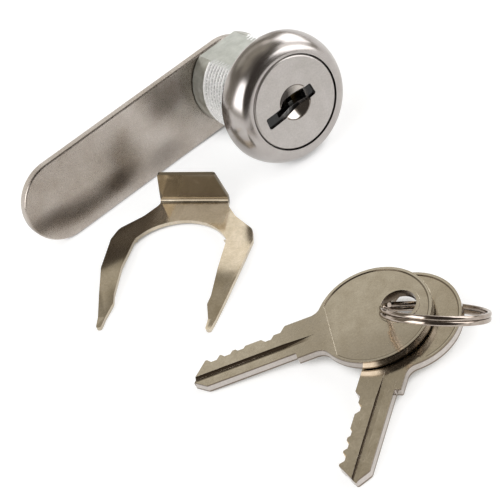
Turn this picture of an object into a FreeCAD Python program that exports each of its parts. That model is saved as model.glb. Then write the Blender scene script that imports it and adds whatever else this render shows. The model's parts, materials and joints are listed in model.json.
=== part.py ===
import FreeCAD, Part
import math
import os

os.makedirs("parts", exist_ok=True)

# Wafer cam lock for a dispenser door, laid out on a table with the spring clip
# that holds it in the door and two keys on a split ring.
# Millimetres, +Z up, table at z = 0, origin under the middle of the whole set.

# Lock body
thread_major = 18.8
across_flats = 16.04
tail_relief = 0.25
thread_length = 11.6
tail_length = 4.3
bore_play = 0.05
groove_width = 7.8
groove_play = 0.1
groove_overrun = 0.5

# Rim and its polished cap
rim_diameter = 26.0
rim_back = 1.5
rim_crest = 5.2
crest_share = 0.74
crest_inset = 0.12
cap_sheet = 0.4
cap_overlap = 1.1
counterbore_floor = 2.5
counterbore_play = 0.08

# Plug
rotor_diameter = 12.4
flange_height = 2.1
end_play = 0.1
shank_square = 6.6
shank_play = 0.05
shank_short = 0.2
turn_angle = 90.0

# Stainless face with its key slot and finger dimple
face_gap = 0.2
face_sheet = 0.5
face_skirt = 0.45
face_lip = 0.4
face_bevel = 0.5
dimple_radius = 3.53
dimple_depth = 0.9
slot_length = 11.8
slot_offset = -1.15
slot_left_low = 1.80
slot_left_high = 0.65
slot_right_low = 1.00
slot_right_high = 1.50
slot_step_start = 3.55
slot_step_end = 5.15
slot_corner = 0.35

# Guide behind the slot
guide_length = 13.4
guide_width = 5.6
guide_bed = 0.3
guide_play = 0.05

# Wafers and their springs
wafer_pitch = 2.6
wafer_thickness = 1.2
wafer_width = 7.6
wafer_play = 0.05
wafer_strip = 0.6
wafer_drop = 0.9
window_play = 0.15
first_cut = 3.1
ear_width = 1.0
ear_offset = -2.0
spring_diameter = 1.2
spring_wall = 0.25
spring_length = 4.0
channel_play = 0.1

# Cam and its fixings
cam_reach = 50.8
cam_half_width = 8.2
cam_thickness = 2.0
cam_edge = 0.25
washer_thickness = 1.4
washer_inset = 1.1
lug_span = 40.0
lug_play = 1.0
lug_gap = 0.15
lock_washer_thickness = 1.1
lock_washer_slit = 0.9
screw_diameter = 5.0
screw_head_diameter = 9.0
screw_head_height = 2.6
screw_head_edge = 0.9
screw_chamfer = 0.4
screw_depth = 4.1

# Keys
blade_thickness = 1.8
blade_play = 0.1
blade_length = 18.1
blade_edge = -2.3
blade_shift = 1.87
land_level = 3.57
cut_step = 0.155
cut_codes = [5, 0, 3, 4, 5]
cut_floor = 1.1
cut_slope = 0.85
key_length = 34.4
tip_slope = 2.4
tip_rise = 2.0
tip_nose = 0.7
neck_low = -3.5
neck_high = 4.75
neck_ramp = 1.0
neck_step = 1.2
neck_fillet = 2.4
key_corner = 0.2
bow_radius = 10.7
key_hole_diameter = 6.6
key_hole_offset = 4.7
coin_depth = 0.15
coin_border = 0.6
coin_share = 0.76
groove_mouth = 1.3
groove_cut = 0.6
groove_runout = 6.0
low_groove = 1.9

# Split ring
ring_diameter = 18.8
ring_wire = 0.8
ring_turn_gap = 0.45
ring_turns = 1.95
ring_tilt = 42.1

# Spring clip
clip_sheet = 0.8
clip_bite = 0.1
clip_tab_width = 13.9
clip_tab_top = 11.5
clip_tab_height = 7.3
clip_tab_corner = 1.5
clip_width = 28.8
clip_length = 32.7
clip_corner = 10.6
clip_bend = 18.7
clip_toe_length = 2.7
clip_toe_inset = 3.15
clip_foot_width = 1.9
clip_arch = 5.7
clip_arch_corner = 0.4
clip_fold_half = 6.8
clip_fold_radius = 0.8
clip_ease = 0.35
tab_lean = 0.04
side_rise = 0.09
side_fall = -0.07
leg_fall = -0.131
toe_rise = 0.06

# Layout on the table, as the set was laid out
lock_x = 21.33
lock_y = 25.56
clip_x = -23.07
clip_y = 2.86
clip_heading = -52.26
keys_x = -16.68
keys_y = -52.73
keys_height = 4.364
keys_slope_x = 0.0987
keys_slope_y = -0.0385
key_gap = 0.3
hole_spread_x = 1.444
hole_spread_y = 0.558
key_1_heading = 150.78
key_2_heading = -146.83
ring_heading = -57.9
ring_phase = -33.16
ring_slack = 0.878
ring_lift = 0.389


def vec(x, y, z):
    return FreeCAD.Vector(x, y, z)


def box(x0, x1, y0, y1, z0, z1):
    return Part.makeBox(x1 - x0, y1 - y0, z1 - z0, vec(x0, y0, z0))


def cyl(radius, z0, z1, x=0.0, y=0.0):
    return Part.makeCylinder(radius, z1 - z0, vec(x, y, z0))


def line(a, b):
    return Part.LineSegment(a, b).toShape()


def arc(a, m, b):
    return Part.Arc(a, m, b).toShape()


def turned(points):
    """Solid of revolution about Z. A point is (r, z), or (r, z, cr, cz) for an arc about (cr, cz)."""
    edges = []
    count = len(points)
    for i in range(count):
        here = points[i]
        there = points[(i + 1) % count]
        a = vec(here[0], 0, here[1])
        b = vec(there[0], 0, there[1])
        if len(there) == 2:
            edges.append(line(a, b))
            continue
        c = vec(there[2], 0, there[3])
        radius = (b - c).Length
        middle = (a + b) * 0.5 - c
        middle.normalize()
        edges.append(arc(a, c + middle * radius, b))
    face = Part.Face(Part.Wire(edges))
    return face.revolve(vec(0, 0, 0), vec(0, 0, 1), 360)


def outline(corners):
    """Flat face from corners (x, y, radius), each corner rounded by its radius."""
    count = len(corners)
    starts = []
    ends = []
    mids = []
    for i in range(count):
        p = vec(corners[i][0], corners[i][1], 0)
        before = vec(corners[i - 1][0], corners[i - 1][1], 0) - p
        after = vec(corners[(i + 1) % count][0], corners[(i + 1) % count][1], 0) - p
        before.normalize()
        after.normalize()
        radius = corners[i][2]
        if radius <= 0:
            starts.append(p)
            ends.append(p)
            mids.append(None)
            continue
        half = before.getAngle(after) / 2
        reach = radius / math.tan(half)
        bisector = before + after
        bisector.normalize()
        starts.append(p + before * reach)
        ends.append(p + after * reach)
        mids.append(p + bisector * (radius / math.sin(half) - radius))
    edges = []
    for i in range(count):
        if mids[i] is not None:
            edges.append(arc(starts[i], mids[i], ends[i]))
        nxt = (i + 1) % count
        if (starts[nxt] - ends[i]).Length > 1e-6:
            edges.append(line(ends[i], starts[nxt]))
    return Part.Face(Part.Wire(edges))


def plate(corners, z0, z1):
    solid = outline(corners).extrude(vec(0, 0, z1 - z0))
    solid.translate(vec(0, 0, z0))
    return solid


def stadium(x0, x1, half, z0, z1):
    """Plate with two round ends, from x0 to x1."""
    edges = [
        line(vec(x0 + half, -half, z0), vec(x1 - half, -half, z0)),
        arc(vec(x1 - half, -half, z0), vec(x1, 0, z0), vec(x1 - half, half, z0)),
        line(vec(x1 - half, half, z0), vec(x0 + half, half, z0)),
        arc(vec(x0 + half, half, z0), vec(x0, 0, z0), vec(x0 + half, -half, z0)),
    ]
    return Part.Face(Part.Wire(edges)).extrude(vec(0, 0, z1 - z0))


def sector(radius, z0, z1, a0, a1):
    wedge = Part.makeCylinder(radius, z1 - z0, vec(0, 0, z0), vec(0, 0, 1), a1 - a0)
    wedge.rotate(vec(0, 0, 0), vec(0, 0, 1), a0)
    return wedge


def put(shape, placement):
    moved = shape.copy()
    moved.Placement = placement.multiply(moved.Placement)
    return moved


def edges_where(shape, test):
    return [edge for edge in shape.Edges if test(edge)]


# Lock, in its own frame: z along the lock out of the face, x away from the cam,
# y up, z = 0 at the widest plane of the rim.
thread_radius = thread_major / 2
rim_radius = rim_diameter / 2
rotor_radius = rotor_diameter / 2
bore_radius = rotor_radius + bore_play
flat = across_flats / 2
seat = -rim_back
thread_end = seat - thread_length
tail_end = thread_end - tail_length
counterbore = thread_radius + counterbore_play
face_radius = counterbore - face_gap
flange_radius = face_radius - face_skirt
flange_bottom = counterbore_floor + end_play
flange_top = flange_bottom + flange_height
face_top = flange_top + face_sheet
washer_front = tail_end + washer_inset
washer_back = washer_front - washer_thickness
cam_back = washer_back - cam_thickness
groove_depth = wafer_drop + groove_play
reach_radius = bore_radius + groove_depth

# Wafer positions: the key stops with its shoulder on the guide behind the face.
key_stop = flange_top
cut_levels = [land_level - cut_step * code for code in cut_codes]
wafer_z = [key_stop - first_cut - i * wafer_pitch for i in range(len(cut_levels))]
retainer_z = wafer_z[-1] - wafer_pitch
slot_half = wafer_thickness / 2 + wafer_play
keyway_low = blade_edge - blade_shift - blade_play
keyway_high = neck_high - blade_shift + blade_play
keyway_half = blade_thickness / 2 + blade_play
keyway_end = key_stop - blade_length - 2 * blade_play

# Rim: crest arc, outer dome and rounded back, tangent to each other.
rim_width = rim_radius - counterbore
crest_r = crest_share * rim_width
crest_x = counterbore + crest_inset
crest_z = rim_crest - crest_r
dome_span = rim_radius - crest_r
dome_x = (dome_span ** 2 - crest_x ** 2 - crest_z ** 2) / (2 * (dome_span - crest_x))
dome_r = rim_radius - dome_x
dome_angle = math.atan2(crest_z, crest_x - dome_x)
rim_seat_r = rim_radius - rim_back
cap_foot = counterbore_floor + cap_overlap


def arc_points(cx, cz, radius, a0, a1, count):
    """Points (r, z) along an arc, its start left out."""
    turns = [a0 + (a1 - a0) * i / count for i in range(1, count + 1)]
    return [(cx + radius * math.cos(a), cz + radius * math.sin(a)) for a in turns]


crest_start = math.acos((counterbore - crest_x) / crest_r)
outer_rim = [
    (counterbore, crest_z + crest_r * math.sin(crest_start)),
    arc_points(crest_x, crest_z, crest_r, 0, dome_angle, 1)[0] + (crest_x, crest_z),
    (rim_radius, 0, dome_x, 0),
    (rim_seat_r, seat, rim_seat_r, 0),
]

# The filling under the cap follows it in short straight steps.
inner_crest = crest_r - cap_sheet
inner_wall = counterbore + cap_sheet
inner_start = math.acos((inner_wall - crest_x) / inner_crest)
inner_rim = [(inner_wall, crest_z + inner_crest * math.sin(inner_start))]
inner_rim += arc_points(crest_x, crest_z, inner_crest, inner_start, dome_angle, 4)
inner_rim += arc_points(dome_x, 0, dome_r - cap_sheet, dome_angle, 0, 2)
inner_rim += arc_points(rim_seat_r, 0, rim_back - cap_sheet, 0, -math.pi / 2, 2)

rim_cap = turned([(counterbore, cap_foot)] + outer_rim
                 + list(reversed(inner_rim)) + [(inner_wall, cap_foot)])

head = turned([(bore_radius, seat), (bore_radius, counterbore_floor), (counterbore, counterbore_floor),
               (counterbore, cap_foot), (inner_wall, cap_foot)] + inner_rim + [(rim_seat_r, seat)])
threaded = cyl(thread_radius, thread_end, seat).fuse(cyl(thread_radius - tail_relief, tail_end, thread_end))
width = box(-rim_radius, rim_radius, -flat, flat, tail_end, seat)
barrel = head.fuse(threaded.common(width))
barrel = barrel.cut(cyl(bore_radius, tail_end - tail_length, cap_foot))

# Broached grooves that the wafers drop into, at the four quarter turns.
groove_end = wafer_z[-1] - wafer_thickness / 2 - groove_overrun
half_groove = groove_width / 2
reach_disc = cyl(reach_radius, groove_end, counterbore_floor)
across = box(-rim_radius, rim_radius, -half_groove, half_groove, groove_end, counterbore_floor)
upright = box(-half_groove, half_groove, -rim_radius, rim_radius, groove_end, counterbore_floor)
barrel = barrel.cut(reach_disc.common(across)).cut(reach_disc.common(upright))

# Ring groove for the retainer that keeps the plug from coming out.
ring_groove = bore_radius + 0.75 * groove_depth
ring_groove_half = slot_half + end_play
barrel = barrel.cut(cyl(ring_groove, retainer_z - ring_groove_half, retainer_z + ring_groove_half))

# Recess for the lug of the stop washer, as wide as the lug and the turn together.
recess_radius = reach_radius + groove_play
recess_half = (lug_span + turn_angle) / 2 + lug_play
barrel = barrel.cut(sector(recess_radius, tail_end - tail_length, washer_front + end_play,
                           -recess_half, recess_half))
barrel = barrel.removeSplitter()

# Slot in the face: two overlapping windows set off from each other.
slot_left = slot_offset - slot_length / 2
slot_right = slot_offset + slot_length / 2
slot_low_step = (slot_left_low - slot_right_low) / slot_length
slot_blend = 5 * slot_corner
face_slot = [
    (slot_left, -slot_left_low, slot_corner),
    (slot_offset, -slot_right_low - slot_low_step * slot_length * 0.8, 2 * slot_blend),
    (slot_right, -slot_right_low, slot_corner),
    (slot_right - slot_corner, slot_right_high, slot_corner),
    (slot_left + slot_step_end, slot_right_high, slot_blend),
    (slot_left + slot_step_start, slot_left_high, slot_blend),
    (slot_left, slot_left_high, slot_corner),
]
dimple_sphere = (dimple_radius ** 2 + dimple_depth ** 2) / (2 * dimple_depth)
dimple_centre = face_top - dimple_depth + dimple_sphere
dimple_low = face_top - dimple_depth - face_sheet
under_r = dimple_radius + face_sheet
under_flat = dimple_radius * 0.4
skirt_end = flange_bottom + face_lip
plug_face = turned([
    (flange_radius, skirt_end), (face_radius, skirt_end), (face_radius, face_top - face_bevel),
    (face_radius - face_bevel, face_top, face_radius - face_bevel, face_top - face_bevel),
    (dimple_radius, face_top), (0, face_top - dimple_depth, 0, dimple_centre),
    (0, dimple_low), (under_flat, dimple_low), (under_r, flange_top), (flange_radius, flange_top),
])
plug_face = plug_face.cut(plate(face_slot, flange_bottom, face_top + face_sheet))

# Guide: black insert behind the slot that leads the key into the keyway.
guide_floor = flange_bottom + guide_bed
guide_half = guide_width / 2
guide_left = slot_offset - guide_length / 2
guide_right = slot_offset + guide_length / 2
relief_low = dimple_low - guide_play
relief = turned([(0, relief_low), (under_flat + guide_play, relief_low),
                 (under_r + guide_play, flange_top), (under_r + guide_play, face_top), (0, face_top)])
guide_slot = box(keyway_low, keyway_high, -keyway_half, keyway_half, flange_bottom, face_top)
keyway_guide = stadium(guide_left, guide_right, guide_half, guide_floor, flange_top)
keyway_guide = keyway_guide.cut(relief).cut(guide_slot)

# Plug core with keyway, wards, wafer slots and spring channels.
guide_pocket = stadium(guide_left - guide_play, guide_right + guide_play, guide_half + guide_play,
                       guide_floor, face_top)
shank_half = shank_square / 2
shank_end = cam_back + shank_short
plug_core = cyl(rotor_radius, washer_front, flange_bottom)
plug_core = plug_core.fuse(cyl(flange_radius, flange_bottom, flange_top))
plug_core = plug_core.fuse(box(-shank_half, shank_half, -shank_half, shank_half, shank_end, washer_front))
plug_core = plug_core.cut(guide_pocket).cut(relief)
ward_half = groove_mouth / 2 - window_play
ward_reach = blade_play + groove_cut - window_play
keyway = box(keyway_low, keyway_high, -keyway_half, keyway_half, keyway_end, flange_top)
for level, side in ((0.0, 1), (low_groove, -1)):
    y0 = keyway_half - ward_reach if side > 0 else -keyway_half
    keyway = keyway.cut(box(level - blade_shift - ward_half, level - blade_shift + ward_half,
                            y0, y0 + ward_reach, keyway_end, guide_floor))
plug_core = plug_core.cut(keyway)
slot_y = wafer_width / 2 + wafer_play
channel_top = slot_y + spring_diameter + 2 * channel_play
ear_low = ear_offset - ear_width / 2
ear_high = ear_offset + ear_width / 2
channel_low = ear_low - wafer_drop - 16 * channel_play
channel_high = ear_high + spring_length
for z in wafer_z + [retainer_z]:
    plug_core = plug_core.cut(box(-rim_radius, rim_radius, -slot_y, slot_y, z - slot_half, z + slot_half))
    plug_core = plug_core.cut(box(channel_low, channel_high, 0, channel_top, z - slot_half, z + slot_half))
screw_bottom = cam_back + screw_chamfer + screw_depth
screw_bore = screw_diameter / 2 + shank_play
plug_core = plug_core.cut(cyl(screw_bore, shank_end - cam_thickness, screw_bottom))
plug_core = plug_core.removeSplitter()

# Wafers, each with its window edge at the height of its cut in the key.
window_half = blade_thickness / 2 + window_play
ear_top = slot_y + spring_diameter - wafer_play
wafer_radius = rotor_radius - 0.4 * bore_play
wafer_window = min(cut_levels) - blade_shift + wafer_radius - wafer_strip


def wafer_plate(z, left_radius, right_radius, window_low, window_high):
    """Slotted plate with an ear for its spring, its ends cut to the circles of the plug."""
    z0 = z - wafer_thickness / 2
    z1 = z + wafer_thickness / 2
    half = wafer_width / 2
    left = cyl(left_radius, z0, z1).common(box(-rim_radius, 0, -half, half, z0, z1))
    right = cyl(right_radius, z0, z1).common(box(0, rim_radius, -half, half, z0, z1))
    ear = box(ear_low, ear_high, half - ear_width / 2, ear_top, z0, z1)
    blank = left.fuse(right).fuse(ear).removeSplitter()
    return blank.cut(box(window_low, window_high, -window_half, window_half, z0, z1))


wafers = []
for z, level in zip(wafer_z, cut_levels):
    high = level - blade_shift
    wafers.append(wafer_plate(z, wafer_radius, wafer_radius, high - wafer_window, high))
retainer_reach = ring_groove - 2 * end_play
retainer_back = wafer_radius - wafer_drop
plug_retainer = wafer_plate(retainer_z, retainer_reach, retainer_back,
                            keyway_low - 2 * window_play, keyway_high + 2 * window_play)


def spring_sleeve(z):
    """Coil spring between a wafer's ear and the end of its channel, as a thin tube."""
    y = slot_y + spring_diameter / 2 + wafer_play
    start = vec(ear_high, y, z)
    outer = Part.makeCylinder(spring_diameter / 2, spring_length, start, vec(1, 0, 0))
    inner = Part.makeCylinder(spring_diameter / 2 - spring_wall, spring_length, start, vec(1, 0, 0))
    return outer.cut(inner)


wafer_springs = [spring_sleeve(z) for z in wafer_z]
retainer_spring = spring_sleeve(retainer_z)

# Stop washer with its lug, cam, lock washer and screw behind the plug.
square_hole = shank_half + shank_play
lug_radius = recess_radius - lug_gap
lug_start = recess_half - lug_play - lug_span


def square_cut(shape, z0, z1):
    return shape.cut(box(-square_hole, square_hole, -square_hole, square_hole, z0, z1))


stop_washer = cyl(bore_radius - lug_gap, washer_back, washer_front)
stop_washer = stop_washer.fuse(sector(lug_radius, washer_back, washer_front,
                                      lug_start, lug_start + lug_span)).removeSplitter()
stop_washer = square_cut(stop_washer, washer_back, washer_front)

cam = stadium(-cam_reach, cam_half_width, cam_half_width, cam_back, washer_back)
cam = cam.makeChamfer(cam_edge, edges_where(cam, lambda e: e.BoundBox.ZLength < 1e-6))
cam = square_cut(cam, cam_back, washer_back)

screw_r = screw_diameter / 2
head_r = screw_head_diameter / 2
head_under = cam_back - lock_washer_thickness
head_back = head_under - screw_head_height
slit_half = lock_washer_slit / 2
lock_washer = cyl(head_r + 2 * lug_gap, head_under, cam_back)
lock_washer = lock_washer.cut(cyl(screw_r + lug_gap, head_under, cam_back))
lock_washer = lock_washer.cut(box(0, screw_head_diameter, -slit_half, slit_half, head_under, cam_back))

screw_top = screw_bottom - shank_short
dome = screw_head_height - screw_head_edge
cam_screw = turned([
    (0, screw_top), (screw_r - screw_chamfer, screw_top), (screw_r, screw_top - screw_chamfer),
    (screw_r, head_under), (head_r, head_under), (head_r, head_under - screw_head_edge),
    (head_r - 0.3 * dome, head_back + 0.3 * dome), (head_r - dome, head_back), (0, head_back),
])

# The lock lies on its rim and on the lower edge of the cam, face tipped up.
lean_a = rim_seat_r - cam_half_width
lean_b = -cam_back - cam_edge
lean = math.atan2(lean_a, lean_b) + math.asin(rim_back / math.hypot(lean_a, lean_b))
lock_height = rim_seat_r * math.cos(lean) + rim_back
lock_turn = FreeCAD.Rotation(vec(1, 0, 0), 90 - math.degrees(lean))
lock_frame = FreeCAD.Placement(vec(lock_x, lock_y, lock_height), lock_turn)

# Key, in its own frame: x from the bow's centre to the tip, y towards the cuts,
# z = 0 at the underside.
shoulder = key_length - blade_length


def key_cuts():
    """Corners of the cuts, from the shoulder to the tip."""
    corners = []
    foot = cut_floor / 2
    for i, level in enumerate(cut_levels):
        mid = shoulder + first_cut + i * wafer_pitch
        ramp = (land_level - level) * cut_slope
        if ramp > 0:
            corners += [(mid - foot - ramp, land_level, 0), (mid - foot, level, 0),
                        (mid + foot, level, 0), (mid + foot + ramp, land_level, 0)]
    return corners


def key_blank():
    """Flat key with its bow, neck, stop shoulder, cuts and tip, in one outline."""
    tip = key_length
    cuts = key_cuts()
    tip_start = cuts[-1][0] + tip_nose / 2
    stop = shoulder - neck_step
    corners = [(0, neck_low, 0), (stop, neck_low, key_corner), (stop, blade_edge, key_corner),
               (tip - tip_slope, blade_edge, 3 * key_corner), (tip, blade_edge + tip_rise, 2 * key_corner),
               (tip - tip_nose, tip_nose, 2 * key_corner), (tip_start, land_level, key_corner)]
    corners += list(reversed(cuts))
    corners += [(shoulder + 0.6 * neck_ramp, land_level, 0),
                (shoulder - 0.4 * neck_ramp, neck_high, 2 * key_corner), (0, neck_high, 0)]
    blade = plate(corners, 0, blade_thickness)
    blank = blade.fuse(cyl(bow_radius, 0, blade_thickness)).removeSplitter()

    def root(edge):
        centre = edge.BoundBox.Center
        upright_edge = abs(edge.BoundBox.ZLength - blade_thickness) < 1e-6
        return upright_edge and centre.x > 0 and abs(math.hypot(centre.x, centre.y) - bow_radius) < 1e-3

    blank = blank.makeFillet(neck_fillet, edges_where(blank, root))
    return blank.cut(cyl(key_hole_diameter / 2, 0, blade_thickness, -key_hole_offset))


def key_groove(y, z_face, side):
    """Cutter for a groove along the blade that runs out towards the neck."""
    run_full = shoulder + first_cut / 4
    run_out = run_full - groove_runout

    def section(x, lift):
        wide = (groove_mouth + blade_play) / 2
        deep = wide - groove_cut / 2
        z_top = z_face + side * (blade_play + lift)
        z_low = z_face - side * (groove_cut - lift)
        points = [vec(x, y - wide, z_top), vec(x, y + wide, z_top), vec(x, y + deep, z_low),
                  vec(x, y - deep, z_low), vec(x, y - wide, z_top)]
        return Part.makePolygon(points)

    along = Part.Face(section(run_full, 0)).extrude(vec(key_length, 0, 0))
    taper = Part.makeLoft([section(run_out, groove_cut + blade_play / 5), section(run_full, 0)], True, True)
    return along.fuse(taper)


def coin_recess(z0, z1):
    """Shallow field inside the bow's border, ended by a straight line across the neck."""
    field = cyl(bow_radius - coin_border, z0, z1)
    end = bow_radius * coin_share
    field = field.common(box(-bow_radius, end, -bow_radius, bow_radius, z0, z1))
    return field.cut(cyl(key_hole_diameter / 2 + coin_border, z0, z1, -key_hole_offset))


key = key_blank()
key = key.cut(key_groove(0, blade_thickness, 1)).cut(key_groove(low_groove, 0, -1))
key = key.cut(coin_recess(blade_thickness - coin_depth, blade_thickness))
key = key.cut(coin_recess(0, coin_depth)).removeSplitter()

# Both keys lie flat on each other in one sloping plane, tips on the table, their holes
# spread a little about the place where the ring goes through them.
pile_normal = vec(-keys_slope_x, -keys_slope_y, 1)
pile_normal.normalize()
pile_place = vec(keys_x + lock_x, keys_y + lock_y, keys_height)


def key_frame(heading, side, offset):
    """Placement of a key from the heading of its blade, the side of its hole and its height in the pile."""
    spread = vec(hole_spread_x, hole_spread_y, hole_spread_x * keys_slope_x + hole_spread_y * keys_slope_y)
    ahead = vec(math.cos(math.radians(heading)), math.sin(math.radians(heading)), 0)
    ahead = ahead - pile_normal * ahead.dot(pile_normal)
    ahead.normalize()
    spin = FreeCAD.Rotation(ahead, pile_normal.cross(ahead), pile_normal, "XYZ")
    bow = pile_place + spread * side + ahead * key_hole_offset
    return FreeCAD.Placement(bow + pile_normal * offset, spin)


key = key.mirror(vec(0, 0, 0), vec(0, 1, 0))
key_1 = put(key, key_frame(key_1_heading, -1, key_gap / 2))
key_2 = put(key, key_frame(key_2_heading, 1, -key_gap / 2 - blade_thickness))

# Split ring: two open turns of one wire, its centre line a run of tangent arcs.
ring_radius = ring_diameter / 2
ring_pitch = ring_wire + ring_turn_gap


def helix_point(angle):
    z = ring_pitch * (angle / (2 * math.pi) - ring_turns / 2)
    return vec(ring_radius * math.cos(angle), ring_radius * math.sin(angle), z)


def helix_tangent(angle):
    slope = ring_pitch / (2 * math.pi)
    t = vec(-ring_radius * math.sin(angle), ring_radius * math.cos(angle), slope)
    t.normalize()
    return t


def tangent_arc(a, t, b):
    """Arc from a to b that leaves a along t."""
    chord = b - a
    length = chord.Length
    unit = chord * (1 / length)
    side = t - unit * t.dot(unit)
    side.normalize()
    angle = t.getAngle(unit)
    return arc(a, a + chord * 0.5 + side * (length / 2 * math.tan(angle / 2)), b)


def biarc(a, ta, b, tb):
    """Two arcs from a to b that leave along ta, arrive along tb and meet in one tangent."""
    v = b - a
    t = ta + tb
    k = 2 * (1 - ta.dot(tb))
    d = (-v.dot(t) + math.sqrt(v.dot(t) ** 2 + k * v.dot(v))) / k
    joint = (a + ta * d + b - tb * d) * 0.5
    first = tangent_arc(a, ta, joint)
    back = tangent_arc(b, tb * -1, joint)
    return [first, back]


def ring_path():
    """Centre line of the wire in quarter-turn biarcs, and the turn that sets its ends opposite."""
    steps = 2 * int(math.ceil(ring_turns * 2))
    total = 2 * math.pi * ring_turns
    edges = []
    for i in range(steps):
        a = total * i / steps
        b = total * (i + 1) / steps
        edges += biarc(helix_point(a), helix_tangent(a), helix_point(b), helix_tangent(b))
    return Part.Wire(Part.__sortEdges__(edges)), 180 * (2 - ring_turns)


def wire_section():
    """Flattened wire with eased corners, eight sides, square to the start of the path."""
    centre = helix_point(0)
    across_wire = vec(1, 0, 0)
    along_axis = helix_tangent(0).cross(across_wire)
    reach = ring_wire / 2 / math.cos(math.pi / 8)
    turns = [math.pi * (k + 0.5) / 4 for k in range(8)]
    corners = [centre + across_wire * (reach * math.cos(a)) + along_axis * (reach * math.sin(a)) for a in turns]
    return Part.makePolygon(corners + [corners[0]])


path, path_start = ring_path()
split_ring = path.makePipeShell([wire_section()], True, False)
split_ring.rotate(vec(0, 0, 0), vec(0, 0, 1), path_start)

# Least gap of the wire to its own next turn, measured on points of the centre line.
samples = []
for edge in path.Edges:
    samples += edge.discretize(40)
least = ring_diameter
for i, p in enumerate(samples):
    for q in samples[i + 1:]:
        if abs(p.z - q.z) > ring_pitch * 0.6:
            least = min(least, (p - q).Length)
print("least gap between the ring's turns", round(least - ring_wire, 3))

# The keys hang on the wire, so the ring's centre lies a radius away from their holes.
ring_side = vec(math.cos(math.radians(ring_heading)), math.sin(math.radians(ring_heading)), 0)
ring_far = vec(-ring_side.y, ring_side.x, 0)
tilt = math.radians(ring_tilt)
phase = math.radians(ring_phase)
ring_down = ring_far * math.cos(tilt) + vec(0, 0, -math.sin(tilt))
ring_axis = ring_down.cross(ring_side)
ring_spin = FreeCAD.Rotation(ring_side * -1, ring_down, ring_axis, "XYZ")
to_centre = ring_side * math.cos(phase) + ring_down * math.sin(phase)
ring_place = pile_place + to_centre * (ring_radius - ring_slack) + ring_axis * ring_lift
split_ring = put(split_ring, FreeCAD.Placement(ring_place, ring_spin))

# Spring clip, in its own frame: x across, y from the fold to the toes, z up.
tab_half = clip_tab_width / 2
gap_half = thread_radius - clip_bite
inner_corner = clip_corner + clip_arch_corner
arch_rise = inner_corner - clip_arch
arch_radius = (gap_half ** 2 + arch_rise ** 2) / (2 * arch_rise)
arch_centre = clip_arch + arch_radius
fold_x = clip_fold_half
fold_y = arch_centre - math.sqrt(arch_radius ** 2 - fold_x ** 2)
fold_in = clip_fold_radius
clip_toe = clip_length - clip_toe_length
fold_z = clip_sheet + clip_bite
wide = clip_width / 2 + clip_sheet
clip_end = clip_length + clip_sheet


def back_z(x, y):
    return fold_z + back_rise * (y - fold_in)


def side_z(x, y):
    return fold_z + side_rise * (y - fold_in) + side_fall * (abs(x) - tab_half)


def leg_z(x, y):
    return side_z(x, clip_bend) + leg_fall * (y - clip_bend)


def toe_z(x, y):
    return leg_z(x, clip_toe) + toe_rise * (y - clip_toe)


def sheet(points, height):
    """Sloping sheet over a polygon in plan, its upper face at height(x, y)."""
    rim = [vec(x, y, height(x, y)) for x, y in points]
    return Part.Face(Part.makePolygon(rim + [rim[0]])).extrude(vec(0, 0, -clip_sheet))


join_z = side_z(fold_x, fold_y)
back_rise = (join_z - fold_z) / (fold_y - fold_in)
facets = [sheet([(-tab_half, fold_in), (tab_half, fold_in), (fold_x, fold_y), (-fold_x, fold_y)], back_z)]
for s in (-1, 1):
    shoulder_plan = [(s * tab_half, fold_in), (s * wide, fold_in), (s * wide, clip_bend),
                     (s * fold_x, clip_bend), (s * fold_x, fold_y)]
    facets.append(sheet(shoulder_plan, side_z))
    for y0, y1, height in ((clip_bend, clip_toe, leg_z), (clip_toe, clip_end, toe_z)):
        facets.append(sheet([(s * fold_x, y0), (s * wide, y0), (s * wide, y1), (s * fold_x, y1)], height))
sheets = facets[0].fuse(facets[1:])


def mirrored(points):
    return points + [(-x, y, r) for x, y, r in reversed(points)]


edge_x = clip_width / 2
toe_x = edge_x - clip_toe_inset
waist = clip_length * 0.82
leg_mid = clip_length * 0.752
plan = outline(mirrored([
    (tab_half, fold_in, 0), (tab_half + 0.3 * fold_in, 1.75 * fold_in, 1.9 * fold_in),
    (tab_half + 3 * fold_in, 0.4 * clip_corner, 5.6 * fold_in),
    (edge_x - fold_in, 0.72 * clip_corner, 3.2 * fold_in), (edge_x, clip_corner, 1.9 * fold_in),
    (edge_x - 0.16 * clip_toe_inset, clip_bend, 0), (edge_x - 0.51 * clip_toe_inset, leg_mid, 7.5 * fold_in),
    (edge_x - 0.87 * clip_toe_inset, clip_toe, 0), (toe_x, clip_length, 0.6 * fold_in),
    (toe_x - clip_foot_width / 1.9, clip_length, 0.6 * fold_in),
    (toe_x - clip_foot_width / 1.9 - 0.1, clip_toe, 2.5 * fold_in),
    (gap_half, waist, 1.2 * fold_in), (gap_half + clip_ease, leg_mid + clip_ease, 2.5 * fold_in),
    (gap_half + clip_ease, clip_bend, 0), (gap_half, inner_corner, 0.75 * fold_in),
]))
body = plan.extrude(vec(0, 0, clip_width))
body.translate(vec(0, 0, -clip_width / 2))
arch_hole = cyl(arch_radius, -clip_width, clip_width, 0, arch_centre)
arch_keep = box(-gap_half, gap_half, 0, inner_corner, -clip_width, clip_width)
mounting_clip = sheets.common(body).cut(arch_hole.common(arch_keep))

top_half = clip_tab_top / 2
tab_top = fold_z + clip_tab_height
tab_foot = fold_z + fold_in
tab_top_y = tab_lean * (tab_top - tab_foot)
out = fold_in + clip_sheet
bend_x = math.cos(math.radians(45))


def in_plane(y, z):
    return vec(-tab_half, y, z)


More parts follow.
